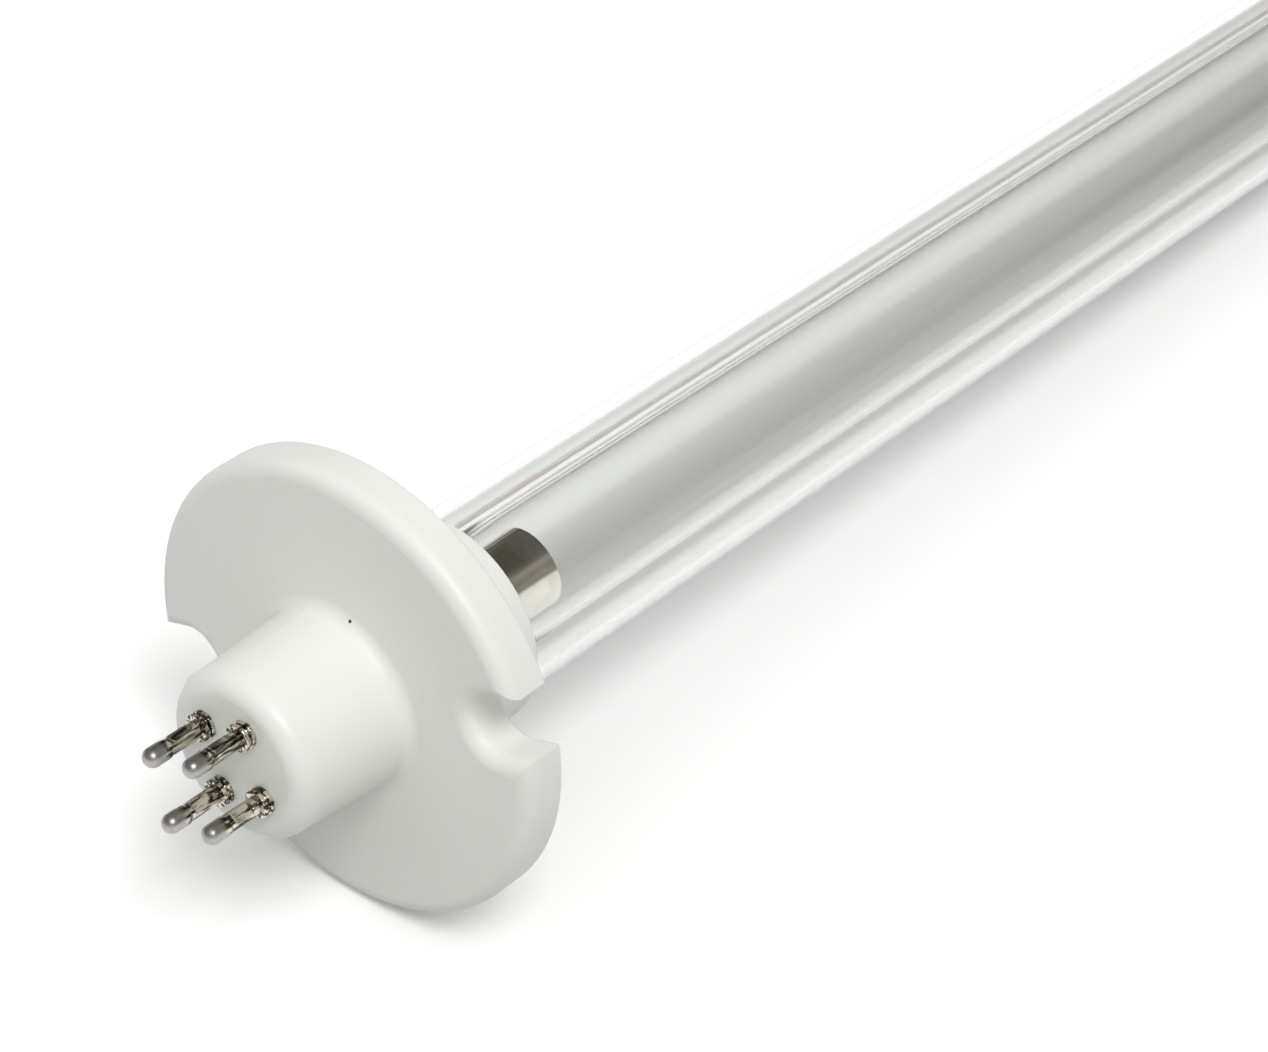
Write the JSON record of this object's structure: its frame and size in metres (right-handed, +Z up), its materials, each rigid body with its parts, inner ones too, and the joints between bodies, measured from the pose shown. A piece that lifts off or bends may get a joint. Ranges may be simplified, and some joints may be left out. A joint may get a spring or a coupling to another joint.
{
  "type": "uvc germicidal lamp tube",
  "caption": "Straight clear discharge lamp: an inner arc tube inside a domed outer sleeve, held in a white base with a notched round flange, a plug boss and contact pins.",
  "frame": {"origin": "middle of the bounding box on the floor that the lamp lies on", "axes": "+X along the lying lamp towards its domed far end, +Z up; the lamp rests on its flange's rim and its far end, so its own axis dips by about 3 degrees towards the far end"},
  "size_m": [0.3302, 0.055, 0.0551],
  "materials": {
    "base_white": "satin white moulding with soft edges",
    "pin_nickel": "nickel-plated, domed bright tips",
    "sleeve_glass": "clear drawn tube",
    "arc_glass": "clear fused quartz",
    "disc_ceramic": "unglazed ceramic",
    "lead_wire": "bare drawn wire",
    "seal_foil": "thin grey foil in the seal",
    "post_wire": "bare drawn wire",
    "cathode_wire": "coil with a pale oxide coating",
    "shield_steel": "rolled strip, satin",
    "mercury": "liquid bead"
  },
  "bodies": {
    "root": {"base": "base_white", "contact_pin_1": "pin_nickel", "contact_pin_2": "pin_nickel", "contact_pin_3": "pin_nickel", "contact_pin_4": "pin_nickel", "outer_sleeve": "sleeve_glass", "arc_tube": "arc_glass", "near_disc": "disc_ceramic", "far_disc": "disc_ceramic", "near_lead_1": "lead_wire", "near_lead_2": "lead_wire", "return_lead_1": "lead_wire", "return_lead_2": "lead_wire", "near_foil_1": "seal_foil", "near_foil_2": "seal_foil", "near_post_1": "post_wire", "near_post_2": "post_wire", "near_cathode": "cathode_wire", "near_shield": "shield_steel", "near_shield_stay": "post_wire", "far_foil_1": "seal_foil", "far_foil_2": "seal_foil", "far_post_1": "post_wire", "far_post_2": "post_wire", "far_cathode": "cathode_wire", "far_shield": "shield_steel", "far_shield_stay": "post_wire", "mercury_bead": "mercury"}
  },
  "joints": []
}
